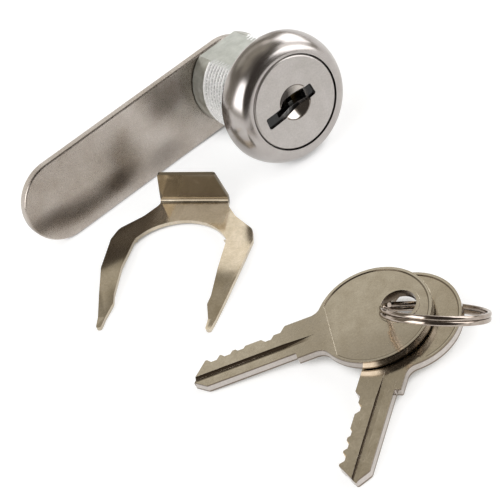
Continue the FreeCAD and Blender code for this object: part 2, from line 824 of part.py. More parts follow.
bend = [
    arc(in_plane(fold_in, fold_z), in_plane(fold_in - fold_in * bend_x, tab_foot - fold_in * bend_x),
        in_plane(0, tab_foot)),
    line(in_plane(0, tab_foot), in_plane(tab_top_y, tab_top)),
    line(in_plane(tab_top_y, tab_top), in_plane(tab_top_y - clip_sheet, tab_top)),
    line(in_plane(tab_top_y - clip_sheet, tab_top), in_plane(-clip_sheet, tab_foot)),
    arc(in_plane(-clip_sheet, tab_foot), in_plane(fold_in - out * bend_x, tab_foot - out * bend_x),
        in_plane(fold_in, fold_z - clip_sheet)),
    line(in_plane(fold_in, fold_z - clip_sheet), in_plane(fold_in, fold_z)),
]
tab = Part.Face(Part.Wire(bend)).extrude(vec(2 * tab_half, 0, 0))
tab_shape = [(-tab_half, -clip_sheet, 0), (tab_half, -clip_sheet, 0), (tab_half, tab_foot, clip_tab_corner),
             (top_half, tab_top, 0.3 * clip_tab_corner), (-top_half, tab_top, 0.3 * clip_tab_corner),
             (-tab_half, tab_foot, clip_tab_corner)]
tab_plate = outline(tab_shape).extrude(vec(0, 0, 2 * out + clip_tab_height))
tab_plate.rotate(vec(0, 0, 0), vec(1, 0, 0), 90)
tab_plate.translate(vec(0, out + clip_tab_height / 2, 0))
mounting_clip = mounting_clip.fuse(tab.common(tab_plate)).removeSplitter()
clip_low = mounting_clip.optimalBoundingBox().ZMin
clip_spin = FreeCAD.Rotation(vec(0, 0, 1), clip_heading + 180)
turned_clip = mounting_clip.mirror(vec(0, 0, 0), vec(1, 0, 0))
clip_place = FreeCAD.Placement(vec(clip_x + lock_x, clip_y + lock_y, -clip_low), clip_spin)
mounting_clip = put(turned_clip, clip_place)

nodes = {
    "barrel": put(barrel, lock_frame),
    "rim_cap": put(rim_cap, lock_frame),
    "plug_core": put(plug_core, lock_frame),
    "plug_face": put(plug_face, lock_frame),
    "keyway_guide": put(keyway_guide, lock_frame),
    "plug_retainer": put(plug_retainer, lock_frame),
    "retainer_spring": put(retainer_spring, lock_frame),
    "stop_washer": put(stop_washer, lock_frame),
    "cam": put(cam, lock_frame),
    "lock_washer": put(lock_washer, lock_frame),
    "cam_screw": put(cam_screw, lock_frame),
    "mounting_clip": mounting_clip,
    "key_1": key_1,
    "key_2": key_2,
    "split_ring": split_ring,
}
for i, solid in enumerate(wafers):
    nodes["wafer_%d" % (i + 1)] = put(solid, lock_frame)
for i, solid in enumerate(wafer_springs):
    nodes["wafer_spring_%d" % (i + 1)] = put(solid, lock_frame)

for name, shape in nodes.items():
    solid = shape
    if shape.ShapeType == "Compound" and len(shape.Solids) == 1:
        solid = shape.Solids[0]
    solid.exportStep("parts/%s.step" % name)
    b = shape.optimalBoundingBox()
    print(name, len(shape.Solids), shape.isValid(), round(shape.Volume, 1),
          [round(v, 2) for v in (b.XMin, b.XMax, b.YMin, b.YMax, b.ZMin, b.ZMax)])
whole = Part.makeCompound(list(nodes.values())).optimalBoundingBox()
print("whole", [round(v, 3) for v in (whole.XMin, whole.XMax, whole.YMin, whole.YMax, whole.ZMin, whole.ZMax)])
print("lean", round(math.degrees(lean), 3), "height", round(lock_height, 3))
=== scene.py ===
import json
import math

import bmesh
import bpy
from mathutils import Matrix, Vector


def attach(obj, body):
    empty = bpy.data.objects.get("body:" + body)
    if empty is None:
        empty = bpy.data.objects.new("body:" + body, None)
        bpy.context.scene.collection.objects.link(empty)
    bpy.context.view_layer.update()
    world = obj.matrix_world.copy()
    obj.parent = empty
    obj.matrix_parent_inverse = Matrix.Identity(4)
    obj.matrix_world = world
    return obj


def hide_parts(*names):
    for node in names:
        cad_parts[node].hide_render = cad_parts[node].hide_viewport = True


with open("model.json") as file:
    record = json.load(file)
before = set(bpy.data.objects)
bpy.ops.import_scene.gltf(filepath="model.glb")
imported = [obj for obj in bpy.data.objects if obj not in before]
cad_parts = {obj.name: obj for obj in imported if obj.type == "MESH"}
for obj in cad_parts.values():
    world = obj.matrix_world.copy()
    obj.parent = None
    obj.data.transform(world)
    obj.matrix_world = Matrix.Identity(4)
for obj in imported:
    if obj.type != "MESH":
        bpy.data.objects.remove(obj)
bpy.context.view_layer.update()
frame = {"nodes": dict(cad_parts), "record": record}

MM = 0.001

# Places and sizes repeated from the part's source, in millimetres and degrees
LOCK_PLACE = (21.33, 25.56, 12.659)
LOCK_LEAN = 13.99
THREAD_MAJOR = 9.4
THREAD_MINOR = 8.8
THREAD_PITCH = 1.0
FLAT = 8.02
SEAT = -1.5
THREAD_END = -13.1
TAIL_RADIUS = 9.15
FACE_TOP = 5.2
DIMPLE_RADIUS = 3.53
PILE_PLACE = (4.65, -27.17, 4.364)
PILE_SLOPE = (0.0987, -0.0385)
HOLE_SPREAD = (1.444, 0.558)
HOLE_OFFSET = 4.7
KEY_GAP = 0.3
KEY_THICKNESS = 1.8
KEY_1_HEADING = 150.78
KEY_2_HEADING = -146.83
SHOULDER = 16.3
KEY_TIP = 34.4
LAND_LEVEL = 3.57
BOW_RADIUS = 10.7
COIN_BORDER = 0.6
COIN_END = 0.74 * BOW_RADIUS
GROOVE_HALF = 0.62
LOW_GROOVE = -1.9
RING_HOLE = 3.3
CLIP_PLACE = (-1.74, 28.42, 0.0)
CLIP_TURN = 127.74
RING_PLACE = (5.290, -35.190, 7.200)
RING_HEADING = -57.9
RING_TILT = 42.1
RING_RADIUS = 9.4

# Looks that lie at a place on a piece, in millimetres in the piece's own frame
CUT_LOW = -1.2
TAIL_STEP = 0.6
CLIP_TAB_MIDDLE = -1.9
# Painted light: the keys' walls take a greyer tone of their own
PAINTED_WALL_TONE = (204, 197, 192)
# Painted highlight outside the keys' coined step
STEP_HIGHLIGHT_TONE = (246, 240, 228)
# Painted shade beside the slot in the face's dimple
SLOT_SHADE_TONE = (38, 32, 28)
# Painted shade on the cam, for its dark reflections: middle, reach to each side, depth
CAM_PAINTED_SHADE = [
    ((-14.2, 4.4, -18), (7.0, 4.6, 9), 0.55),
    ((-20.0, -5.0, -18), (5.5, 3.0, 9), 0.4),
    ((-27.0, 0.6, -18), (4.0, 4.5, 9), 0.16),
    ((-31.5, -4.0, -18), (6.6, 3.6, 9), 0.75),
    ((-41.0, -3.6, -18), (9.0, 2.8, 9), 0.6),
    ((-47.6, -1.8, -18), (6.0, 2.4, 9), 0.55),
]

# Eased edges, in millimetres
KEY_EASE = 0.06
CAM_EASE = 0.06
FACE_EASE = 0.13
GUIDE_EASE = 0.13
CLIP_EASE = 0.1

# Angles in degrees above which an edge is eased or stays sharp, and below which facets are one face
EASE_ANGLE = 28.0
SHARP_ANGLE = 32
LEVEL_ANGLE = 0.3
WELD_DISTANCE = 2e-6


def srgb(r, g, b):
    """Linear colour of an sRGB one given in 0 to 255."""
    out = []
    for v in (r, g, b):
        c = v / 255.0
        out.append(c / 12.92 if c <= 0.04045 else ((c + 0.055) / 1.055) ** 2.4)
    return (out[0], out[1], out[2], 1.0)


def direction(heading):
    """Unit vector along the table at a heading in degrees."""
    return Vector((math.cos(math.radians(heading)), math.sin(math.radians(heading)), 0))


# Frames of the lock, the keys, the clip and the ring
lock_frame = Matrix.Translation(Vector(LOCK_PLACE) * MM)
lock_frame = lock_frame @ Matrix.Rotation(math.radians(90 - LOCK_LEAN), 4, "X")
pile_normal = Vector((-PILE_SLOPE[0], -PILE_SLOPE[1], 1)).normalized()


def key_frame(heading, side, offset):
    """A key's own frame: x from the bow to the tip, z up, its cuts towards -y."""
    rise = HOLE_SPREAD[0] * PILE_SLOPE[0] + HOLE_SPREAD[1] * PILE_SLOPE[1]
    spread = Vector((HOLE_SPREAD[0], HOLE_SPREAD[1], rise))
    ahead = direction(heading)
    ahead = (ahead - pile_normal * ahead.dot(pile_normal)).normalized()
    bow = Vector(PILE_PLACE) + spread * side + ahead * HOLE_OFFSET + pile_normal * offset
    turn = Matrix((ahead, pile_normal.cross(ahead), pile_normal)).transposed().to_4x4()
    return Matrix.Translation(bow * MM) @ turn


key_frames = {
    "key_1": key_frame(KEY_1_HEADING, -1, KEY_GAP / 2),
    "key_2": key_frame(KEY_2_HEADING, 1, -KEY_GAP / 2 - KEY_THICKNESS),
}
clip_frame = Matrix.Translation(Vector(CLIP_PLACE) * MM)
clip_frame = clip_frame @ Matrix.Rotation(math.radians(CLIP_TURN), 4, "Z")
ring_side = direction(RING_HEADING)
ring_far = Vector((-ring_side.y, ring_side.x, 0))
ring_tilt = math.radians(RING_TILT)
ring_down = ring_far * math.cos(ring_tilt) + Vector((0, 0, -math.sin(ring_tilt)))
ring_turn = Matrix((-ring_side, ring_down, (-ring_side).cross(ring_down))).transposed().to_4x4()
ring_frame = Matrix.Translation(Vector(RING_PLACE) * MM) @ ring_turn


class Nodes:
    """Small helper that adds and links shader nodes in one tree."""

    def __init__(self, tree):
        self.tree = tree
        self.tree.nodes.clear()

    def node(self, kind, **values):
        n = self.tree.nodes.new(kind)
        for key, value in values.items():
            setattr(n, key, value)
        return n

    def feed(self, socket, value):
        """Links an output to a socket, or sets a number or colour on it."""
        if hasattr(value, "links"):
            self.tree.links.new(value, socket)
        else:
            socket.default_value = value

    def math(self, operation, a, b=0.0):
        n = self.node("ShaderNodeMath", operation=operation)
        self.feed(n.inputs[0], a)
        self.feed(n.inputs[1], b)
        return n.outputs[0]

    def product(self, first, *others):
        for other in others:
            first = self.math("MULTIPLY", first, other)
        return first

    def largest(self, first, *others):
        for other in others:
            first = self.math("MAXIMUM", first, other)
        return first

    def off(self, value, middle=0.0):
        """How far a value lies from a middle one, to either side."""
        if middle:
            value = self.math("SUBTRACT", value, middle)
        return self.math("ABSOLUTE", value)

    def axes(self, vector):
        split = self.node("ShaderNodeSeparateXYZ")
        self.feed(split.inputs[0], vector)
        return split.outputs

    def radius(self, x, y):
        """Distance from the axis x = y = 0."""
        square = self.math("ADD", self.math("MULTIPLY", x, x), self.math("MULTIPLY", y, y))
        return self.math("SQRT", square)

    def span(self, value, low, high, from_low=0.3, from_high=0.7, kind="LINEAR"):
        """Maps from_low to low and from_high to high; most noise lies between 0.3 and 0.7."""
        n = self.node("ShaderNodeMapRange", interpolation_type=kind)
        self.feed(n.inputs["Value"], value)
        n.inputs["From Min"].default_value = from_low
        n.inputs["From Max"].default_value = from_high
        n.inputs["To Min"].default_value = low
        n.inputs["To Max"].default_value = high
        return n.outputs[0]

    def smooth(self, value, low, high, from_low, from_high):
        return self.span(value, low, high, from_low, from_high, "SMOOTHSTEP")

    def mix(self, factor, a, b):
        n = self.node("ShaderNodeMix", data_type="RGBA")
        self.feed(n.inputs[0], factor)
        self.feed(n.inputs[6], a)
        self.feed(n.inputs[7], b)
        return n.outputs[2]

    def ramp(self, value, stops):
        n = self.node("ShaderNodeValToRGB")
        while len(n.color_ramp.elements) < len(stops):
            n.color_ramp.elements.new(0.5)
        for element, (where, colour) in zip(n.color_ramp.elements, stops):
            element.position = where
            element.color = colour
        self.feed(n.inputs[0], value)
        return n.outputs[0]


class Finish(Nodes):
    """One procedural material on a Principled shader."""

    def __init__(self, name, metallic=1.0):
        self.mat = bpy.data.materials.new(name)
        self.mat.use_nodes = True
        super().__init__(self.mat.node_tree)
        out = self.node("ShaderNodeOutputMaterial")
        self.bsdf = self.node("ShaderNodeBsdfPrincipled")
        self.bsdf.inputs["Metallic"].default_value = metallic
        self.feed(out.inputs[0], self.bsdf.outputs[0])
        self.coord = self.node("ShaderNodeTexCoord")

    def place(self, matrix=None, scale=(1, 1, 1)):
        """Coordinates in millimetres, in the object's frame or a piece's own, and stretched."""
        vector = self.coord.outputs["Object"]
        if matrix is not None:
            where, turn, _ = matrix.inverted().decompose()
            m = self.node("ShaderNodeMapping")
            m.inputs["Location"].default_value = where
            m.inputs["Rotation"].default_value = turn.to_euler("XYZ")
            self.feed(m.inputs["Vector"], vector)
            vector = m.outputs[0]
        s = self.node("ShaderNodeMapping")
        s.inputs["Scale"].default_value = [v / MM for v in scale]
        self.feed(s.inputs["Vector"], vector)
        return s.outputs[0]

    def noise(self, vector, scale, detail=3.0, rough=0.5):
        n = self.node("ShaderNodeTexNoise")
        self.feed(n.inputs["Vector"], vector)
        n.inputs["Scale"].default_value = scale
        n.inputs["Detail"].default_value = detail
        n.inputs["Roughness"].default_value = rough
        return n.outputs[0]

    def clouds(self, vector, scale):
        """Soft, wide changes of tone."""
        return self.noise(vector, scale, 4.0, 0.6)

    def specks(self, vector, scale, detail=4.0):
        """Fine, crisp grain."""
        return self.noise(vector, scale, detail, 0.7)

    def facing(self, normal):
        """How squarely the surface faces along a direction or against it, from 0 to 1."""
        n = self.node("ShaderNodeVectorMath", operation="DOT_PRODUCT")
        self.feed(n.inputs[0], self.coord.outputs["Normal"])
        n.inputs[1].default_value = normal
        return self.off(n.outputs["Value"])

    def rings(self, matrix, fine):
        """Noise that changes only with the distance from an axis and along it, for turned parts."""
        x, y, z = self.axes(self.place(matrix))
        both = self.node("ShaderNodeCombineXYZ")
        self.feed(both.inputs[0], self.radius(x, y))
        self.feed(both.inputs[1], z)
        return self.noise(both.outputs[0], fine, 2.0)

    def spot(self, matrix, centre, reach, edge_noise):
        """A soft, ragged patch about a place in a piece's frame: 1 in the middle, 0 outside."""
        v = self.node("ShaderNodeVectorMath", operation="SUBTRACT")
        self.feed(v.inputs[0], self.place(matrix))
        v.inputs[1].default_value = centre
        w = self.node("ShaderNodeVectorMath", operation="DIVIDE")
        self.feed(w.inputs[0], v.outputs[0])
        w.inputs[1].default_value = reach
        length = self.node("ShaderNodeVectorMath", operation="LENGTH")
        self.feed(length.inputs[0], w.outputs[0])
        ragged = self.math("ADD", length.outputs["Value"], self.span(edge_noise, -0.15, 0.15))
        return self.smooth(ragged, 1.0, 0.0, 0.1, 1.15)

    def grain(self, value, tone, amount):
        """Tone with fine lighter and darker specks."""
        n = self.node("ShaderNodeHueSaturation")
        self.feed(n.inputs["Value"], self.span(value, 1.0 - amount, 1.0 + amount))
        self.feed(n.inputs["Color"], tone)
        return n.outputs[0]

    def colour(self, value):
        self.feed(self.bsdf.inputs["Base Color"], value)

    def roughness(self, value):
        self.feed(self.bsdf.inputs["Roughness"], value)

    def bump(self, height, strength, distance=0.02):
        n = self.node("ShaderNodeBump")
        n.inputs["Strength"].default_value = strength
        n.inputs["Distance"].default_value = distance * MM
        self.feed(n.inputs["Height"], height)
        self.feed(self.bsdf.inputs["Normal"], n.outputs[0])


def metal(name, light, dark, rough, spread=0.05, grain=6.0, bump=0.06, cloud=0.35, metallic=1.0):
    """Plain metal: soft clouds of tone, and fine grain in its gloss and relief."""
    m = Finish(name, metallic)
    place = m.place()
    speck = m.noise(place, grain, 3.0, 0.6)
    tone = m.ramp(m.clouds(place, cloud), [(0.32, dark), (0.68, light)])
    m.colour(m.grain(speck, tone, 0.05))
    m.roughness(m.span(speck, rough - spread, rough + spread))
    m.bump(speck, bump)
    return m.mat


def turned_metal(name, light, dark, rough, spread, matrix, bump, grain, blast=0.0):
    """Metal with the fine rings that turning leaves round an axis, or the fine pits of blasting."""
    m = Finish(name)
    place = m.place(matrix)
    lines = m.rings(matrix, grain)
    pits = m.noise(place, 3.4, 4.0, 0.75)
    tone = m.ramp(m.clouds(place, 0.3), [(0.3, dark), (0.7, light)])
    m.colour(m.grain(pits, tone, 0.03 + 1.6 * blast))
    m.roughness(m.span(lines, rough - spread, rough + spread))
    m.bump(m.mix(6.0 * blast, lines, pits) if blast else lines, bump, 0.01)
    return m.mat


def key_metal(name, light, dark, dark_tone, rough, matrix, darken_amount):
    """Nickel-plated key: scratched, darker in its grooves and step, with painted shade in its hole,
    along its edges, towards its neck and one side, and a painted highlight outside the step.
    """
    m = Finish(name)
    place = m.place(matrix)
    x, y, z = m.axes(place)
    clouds = m.clouds(place, 0.45)
    speck = m.specks(place, 6.5)
    scratches = m.noise(m.place(matrix, (0.3, 6.0, 3.0)), 1.1, 2.0, 0.4)
    tone = m.ramp(clouds, [(0.32, dark), (0.68, light)])

    half = KEY_THICKNESS / 2
    wall = m.smooth(m.facing(pile_normal), 1.0, 0.0, 0.35, 0.85)
    # Painted light: the walls take a greyer tone of their own
    tone = m.mix(wall, tone, srgb(*PAINTED_WALL_TONE))

    # The coined step inside the bow's border: a dark line, with a painted highlight outside it.
    radius = m.radius(x, y)
    coined = m.math("LESS_THAN", x, COIN_END)
    step = m.smooth(m.off(radius, BOW_RADIUS - COIN_BORDER), 0.75, 0.0, 0.04, 0.2)
    step_highlight = m.smooth(m.off(radius, BOW_RADIUS - COIN_BORDER + 0.27), 0.55, 0.0, 0.04, 0.16)
    tone = m.mix(m.product(step_highlight, coined), tone, srgb(*STEP_HIGHLIGHT_TONE))

    # One groove on each side of the blade, darker towards its bottom.
    upper = m.product(m.math("LESS_THAN", m.off(y), GROOVE_HALF),
                      m.span(z, 1.0, 0.0, KEY_THICKNESS - 0.25, KEY_THICKNESS - 0.02),
                      m.math("GREATER_THAN", z, half))
    lower = m.product(m.math("LESS_THAN", m.off(y, LOW_GROOVE), GROOVE_HALF),
                      m.span(z, 0.0, 1.0, 0.02, 0.25),
                      m.math("LESS_THAN", z, half))
    groove = m.product(m.largest(upper, lower), m.math("GREATER_THAN", x, BOW_RADIUS), darken_amount)

    # Painted shade: dark bands on the walls by their top and bottom edges, on the walls of the
    # hole, towards the neck, and towards the side away from the cuts
    edge_shade = m.product(m.smooth(m.off(z, half), 0.0, 0.85, half - 0.42, half - 0.22), wall)
    to_hole = m.radius(m.math("ADD", x, HOLE_OFFSET), y)
    hole = m.product(m.math("LESS_THAN", to_hole, RING_HOLE + 0.04), wall, 0.85)
    neck = m.product(m.span(x, 0.0, 1.0, 7.0, 10.0), m.span(x, 1.0, 0.0, 14.0, 21.0),
                     m.span(clouds, 0.12, 0.3))
    side_shade = m.product(m.span(y, 0.0, 0.36 * darken_amount, 1.0, 8.0), m.span(clouds, 0.6, 1.2))
    darkening_and_shade = m.largest(groove, m.product(step, coined), neck, side_shade, hole, edge_shade)
    tone = m.mix(darkening_and_shade, tone, dark_tone)

    wear = m.specks(place, 2.4, 3.0)
    m.colour(m.grain(wear, m.grain(speck, tone, 0.07), 0.08))
    m.roughness(m.math("ADD", m.span(speck, rough - 0.04, rough + 0.05),
                       m.span(scratches, 0.0, 0.12, 0.66, 0.74)))
    m.bump(speck, 0.08)
    return m.mat


def spring_metal(name, light, dark, clip_shade_tone, rough, matrix):
    """Hardened spring steel with painted shade, for dark reflections, on the tab and one arm, and
    dull beside the tab.
    """
    m = Finish(name)
    place = m.place(matrix)
    x, y, _ = m.axes(place)
    clouds = m.clouds(place, 0.35)
    speck = m.specks(place, 6.0)
    wear = m.specks(place, 2.4, 3.0)
    tone = m.grain(wear, m.ramp(clouds, [(0.32, dark), (0.68, light)]), 0.09)

    # Painted shade, for dark reflections, on the tab and across one arm
    back = m.math("ADD", y, m.span(clouds, -0.15, 0.15))
    tab = m.product(m.smooth(back, 0.95, 0.0, 0.2, 0.75), m.span(back, 0.55, 1.0, -0.6, -0.3))
    arm = m.product(m.span(x, 0.0, 1.0, 6.2, 8.4), m.span(back, 1.0, 0.45, 15.0, 20.0),
                    m.span(clouds, 0.36, 0.58))
    m.colour(m.grain(speck, m.mix(m.largest(tab, arm), tone, clip_shade_tone), 0.06))

    dull = m.product(m.smooth(back, 0.0, 1.0, 0.8, 1.2),
                     m.smooth(m.off(x, CLIP_TAB_MIDDLE), 1.0, 0.0, 4.7, 6.6),
                     m.smooth(y, 1.0, 0.0, 5.5, 8.0))
    uneven = m.product(dull, m.span(clouds, 0.7, 1.3))
    m.feed(m.bsdf.inputs["Metallic"], m.span(uneven, 1.0, 0.6, 0.0, 1.0))
    m.roughness(m.math("ADD", m.product(dull, 0.25), m.span(speck, rough - 0.04, rough + 0.05)))
    m.bump(speck, 0.07)
    return m.mat


def metal_with_painted_shade(name, light, dark, cam_shade_tone, rough, matrix):
    """Rolled and plated sheet with grain along it and darker patches of painted shade for its dark
    reflections.
    """
    m = Finish(name)
    along = m.place(matrix, (0.6, 1, 1))
    fine = m.specks(m.place(matrix, (0.5, 1, 1)), 7.0)
    ragged = m.noise(along, 0.22, 2.0, 0.45)
    tone = m.ramp(m.clouds(m.place(matrix), 0.16), [(0.34, dark), (0.66, light)])
    # Painted shade: patches that stand for the cam's dark reflections
    for centre, reach, depth in CAM_PAINTED_SHADE:
        tone = m.mix(m.product(m.spot(matrix, centre, reach, ragged), depth), tone, cam_shade_tone)
    wear = m.specks(along, 2.2, 3.0)
    m.colour(m.grain(wear, m.grain(fine, tone, 0.08), 0.05))
    m.roughness(m.span(fine, rough - 0.05, rough + 0.07))
    m.bump(fine, 0.1)
    return m.mat


def plastic(name, light, dark, highlight, rough, matrix):
    """Moulded insert with a painted highlight on the edges of its face."""
    m = Finish(name, 0.0)
    speck = m.noise(m.place(), 5.0)
    # Painted highlight on the eased edges of the face
    facing = m.facing(matrix.to_3x3() @ Vector((0, 0, 1)))
    edge = m.product(m.span(facing, 0.0, 1.0, 0.15, 0.4), m.span(facing, 1.0, 0.0, 0.85, 0.97),
                     m.span(speck, 0.3, 1.0, 0.35, 0.6))
    tone = m.ramp(m.noise(m.place(), 0.8), [(0.35, dark), (0.65, light)])
    m.colour(m.mix(edge, tone, highlight))
    m.roughness(m.span(speck, rough - 0.04, rough + 0.06))
    m.bump(speck, 0.06, 0.01)
    return m.mat


def thread_metal(name, crest, groove, rough, matrix):
    """Zinc-plated thread with a painted highlight on the crests and by the flats, and painted shade
    in the grooves.
    """
    m = Finish(name, 0.2)
    place = m.place(matrix)
    x, y, _ = m.axes(place)
    speck = m.noise(place, 3.0, 4.0, 0.75)
    ragged = m.math("ADD", m.radius(x, y), m.span(speck, -0.1, 0.1))
    # Painted highlight on the crests and by the flats, painted shade in the grooves
    highlight = m.smooth(ragged, 0.0, 1.0, THREAD_MINOR + 0.16, THREAD_MAJOR - 0.2)
    flat_highlight = m.smooth(m.off(y), 0.0, 0.85, FLAT - 0.8, FLAT - 0.1)
    m.colour(m.mix(m.largest(highlight, flat_highlight), groove, crest))
    m.roughness(m.span(speck, rough - 0.08, rough + 0.12))
    m.bump(speck, 0.15, 0.03)
    return m.mat


def dimple_polish(name, light, dark, dark_tone, matrix):
    """Polished floor of the key's dimple, darker towards its edge, with painted shade beside the
    slot.
    """
    m = Finish(name)
    place = m.place(matrix)
    x, y, _ = m.axes(place)
    speck = m.noise(place, 5.0)
    rim = m.math("ADD", m.radius(x, y), m.span(speck, -0.05, 0.05))
    edge = m.span(rim, 0.0, 0.9, DIMPLE_RADIUS - 0.3, DIMPLE_RADIUS - 0.08)
    tone = m.mix(edge, m.ramp(m.noise(place, 0.5), [(0.35, dark), (0.65, light)]), dark_tone)
    # Painted shade beside the slot
    side = m.math("ADD", x, m.span(speck, -0.3, 0.3))
    beside = m.product(m.span(side, 0.96, 0.0, -0.6, 2.1), m.span(y, 0.0, 1.0, 0.6, 1.4))
    m.colour(m.mix(beside, tone, srgb(*SLOT_SHADE_TONE)))
    m.roughness(m.span(speck, 0.08, 0.14))
    m.bump(speck, 0.05)
    return m.mat


ZINC = metal("zinc_plating", srgb(216, 219, 214), srgb(194, 198, 192), rough=0.38, spread=0.1,
             grain=3.5, bump=0.16, cloud=0.5, metallic=0.65)
# The barrel's tail by the cam in a darker tone: painted shade
TAIL = metal("zinc_tail", srgb(196, 197, 190), srgb(150, 148, 138), rough=0.4, spread=0.1,
             grain=3.5, bump=0.16, cloud=0.5, metallic=0.65)
# Thread: white for the painted highlight on its crests, dark for the painted shade in its grooves
THREAD = thread_metal("zinc_thread", srgb(255, 255, 255), srgb(66, 68, 66), rough=0.22,
                      matrix=lock_frame)
RIM = turned_metal("rim_satin_nickel", srgb(187, 182, 179), srgb(175, 169, 166), rough=0.22,
                   spread=0.04, matrix=lock_frame, bump=0.02, grain=9.0)
FACE = turned_metal("face_satin", srgb(192, 187, 184), srgb(182, 177, 173), rough=0.33,
                    spread=0.05, matrix=lock_frame, bump=0.1, grain=14.0, blast=0.05)
DIMPLE = dimple_polish("dimple_polish", srgb(206, 200, 194), srgb(190, 183, 176),
                       dark_tone=srgb(92, 82, 74), matrix=lock_frame)
CAM = metal_with_painted_shade("cam_nickel", srgb(198, 190, 183), srgb(182, 172, 163),
                    cam_shade_tone=srgb(90, 79, 69), rough=0.27, matrix=lock_frame)
CLIP = spring_metal("clip_spring_steel", srgb(218, 207, 189), srgb(198, 186, 165),
                    clip_shade_tone=srgb(112, 102, 87), rough=0.13, matrix=clip_frame)
KEY_1 = key_metal("key_1_nickel", srgb(228, 219, 203), srgb(210, 200, 182),
                  dark_tone=srgb(96, 80, 60), rough=0.16, matrix=key_frames["key_1"], darken_amount=0.7)
KEY_2 = key_metal("key_2_nickel", srgb(224, 214, 196), srgb(206, 195, 175),
                  dark_tone=srgb(104, 88, 66), rough=0.16, matrix=key_frames["key_2"], darken_amount=0.12)
BRASS = metal("key_brass_cut", srgb(222, 190, 112), srgb(180, 142, 72), rough=0.28, spread=0.08,
              grain=8.0, bump=0.1, cloud=0.9)
# Wafers and retainer in a darkened brass: painted shade inside the keyway
WAFER = metal("wafer_brass", srgb(92, 74, 42), srgb(58, 46, 28), rough=0.34, spread=0.06, grain=5.0)
SPRING = metal("spring_steel", srgb(205, 205, 205), srgb(180, 180, 182), rough=0.25)
RING = metal("ring_steel", srgb(190, 178, 168), srgb(148, 136, 126), rough=0.09, spread=0.03,
             grain=5.0, bump=0.03, cloud=0.5)
SCREW = metal("screw_steel", srgb(200, 196, 186), srgb(170, 164, 152), rough=0.28, spread=0.06,
              grain=5.0)
PLUG = metal("plug_zinc", srgb(130, 130, 126), srgb(104, 104, 100), rough=0.4, spread=0.06,
             grain=4.0)
BLACK = plastic("black_insert", srgb(26, 25, 25), srgb(15, 14, 14), highlight=srgb(128, 122, 118),
                rough=0.16, matrix=lock_frame)

finish_of = {
    "barrel": ZINC, "rim_cap": RIM, "plug_core": PLUG, "plug_face": FACE, "keyway_guide": BLACK,
    "plug_retainer": WAFER, "retainer_spring": SPRING, "stop_washer": CAM, "cam": CAM,
    "lock_washer": SCREW, "cam_screw": SCREW, "mounting_clip": CLIP, "key_1": KEY_1, "key_2": KEY_2,
    "split_ring": RING,
}
for k in range(1, 6):
    finish_of["wafer_%d" % k] = WAFER
    finish_of["wafer_spring_%d" % k] = SPRING

body_of_node = {}
for body, members in frame["record"]["behaviour"]["bodies"].items():
    for member in members:
        body_of_node[member] = body

for name, obj in frame["nodes"].items():
    obj.data.materials.clear()
    obj.data.materials.append(finish_of[name])


def new_object(name, mesh, body, *nodes):
    obj = bpy.data.objects.new(name, mesh)
    bpy.context.scene.collection.objects.link(obj)
    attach(obj, body)
    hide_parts(*nodes)
    return obj


def welded_copy(node, name):
    """The mesh of a CAD node with its facets joined and merged where they are level."""
    mesh = frame["nodes"][node].data.copy()
    mesh.name = name
    bm = bmesh.new()
    bm.from_mesh(mesh)
    bmesh.ops.remove_doubles(bm, verts=bm.verts, dist=WELD_DISTANCE)
    bmesh.ops.dissolve_limit(bm, angle_limit=math.radians(LEVEL_ANGLE),
                             verts=bm.verts, edges=bm.edges)
    bm.normal_update()
    bm.to_mesh(mesh)
    bm.free()
    mesh.materials.clear()
    for attribute in ("custom_normal", "sharp_edge", "sharp_face"):
        found = mesh.attributes.get(attribute)
        if found:
            mesh.attributes.remove(found)
    mesh.shade_smooth()
    return mesh


def softened(node, width, other=None, choose=None):
    """A copy of a CAD node with its sharp edges eased, as tumbling and plating leave them.

    The faces that choose picks get the other finish.
    """
    mesh = welded_copy(node, node + "_eased")
    mesh.materials.append(finish_of[node])
    if other:
        mesh.materials.append(other)
        for polygon in mesh.polygons:
            polygon.material_index = 1 if choose(polygon) else 0
    obj = new_object(node + "_eased", mesh, body_of_node[node], node)
    ease = obj.modifiers.new("ease", "BEVEL")
    ease.width = width * MM
    ease.segments = 2
    ease.limit_method = "ANGLE"
    ease.angle_limit = math.radians(EASE_ANGLE)
    ease.use_clamp_overlap = True
    even = obj.modifiers.new("even", "WEIGHTED_NORMAL")
    even.mode = "FACE_AREA"
    even.weight = 100
    return obj


def in_dimple(polygon):
    """True on the floor of the face's round dimple."""
    p = lock_frame.inverted() @ polygon.center / MM
    return math.hypot(p.x, p.y) < DIMPLE_RADIUS and p.z < FACE_TOP - 0.06


def in_cuts(node):
    """Test for the walls that the key cutter left bare: the brass under the plating."""
    back = key_frames[node].inverted()

    def test(polygon):
        p = back @ polygon.center / MM
        n = back.to_3x3() @ polygon.normal
        in_row = SHOULDER + 1.0 < p.x < KEY_TIP - 2.0
        below_land = -LAND_LEVEL + 0.02 < p.y < CUT_LOW
        return in_row and below_land and abs(n.z) < 0.3
    return test


